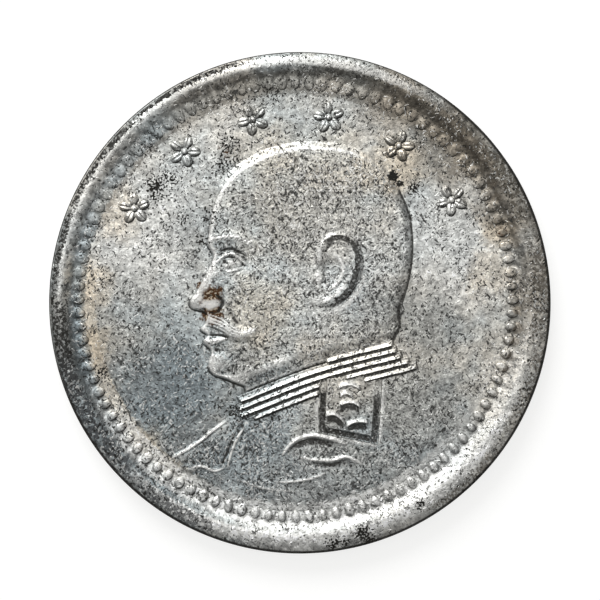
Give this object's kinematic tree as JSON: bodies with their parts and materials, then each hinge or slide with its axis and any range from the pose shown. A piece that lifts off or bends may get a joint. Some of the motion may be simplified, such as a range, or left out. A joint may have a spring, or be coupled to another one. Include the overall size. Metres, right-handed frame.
{
  "type": "silver dollar coin",
  "caption": "Round struck silver coin with a reeded edge, a beaded rim, a uniformed bust in low relief and a grain wreath on the reverse.",
  "frame": {"origin": "centre of the bounding box at the reverse rim's face, on which the coin lies", "axes": "+Z out of the obverse, along the coin's axis; +Y to the top of the bust's head; +X to the right of the obverse as it is read"},
  "size_m": [0.039, 0.039, 0.0026],
  "materials": {
    "silver": "worn struck silver, semi-matt, with grey toning and fine pitting"
  },
  "bodies": {
    "root": {"coin": "silver"}
  },
  "joints": []
}
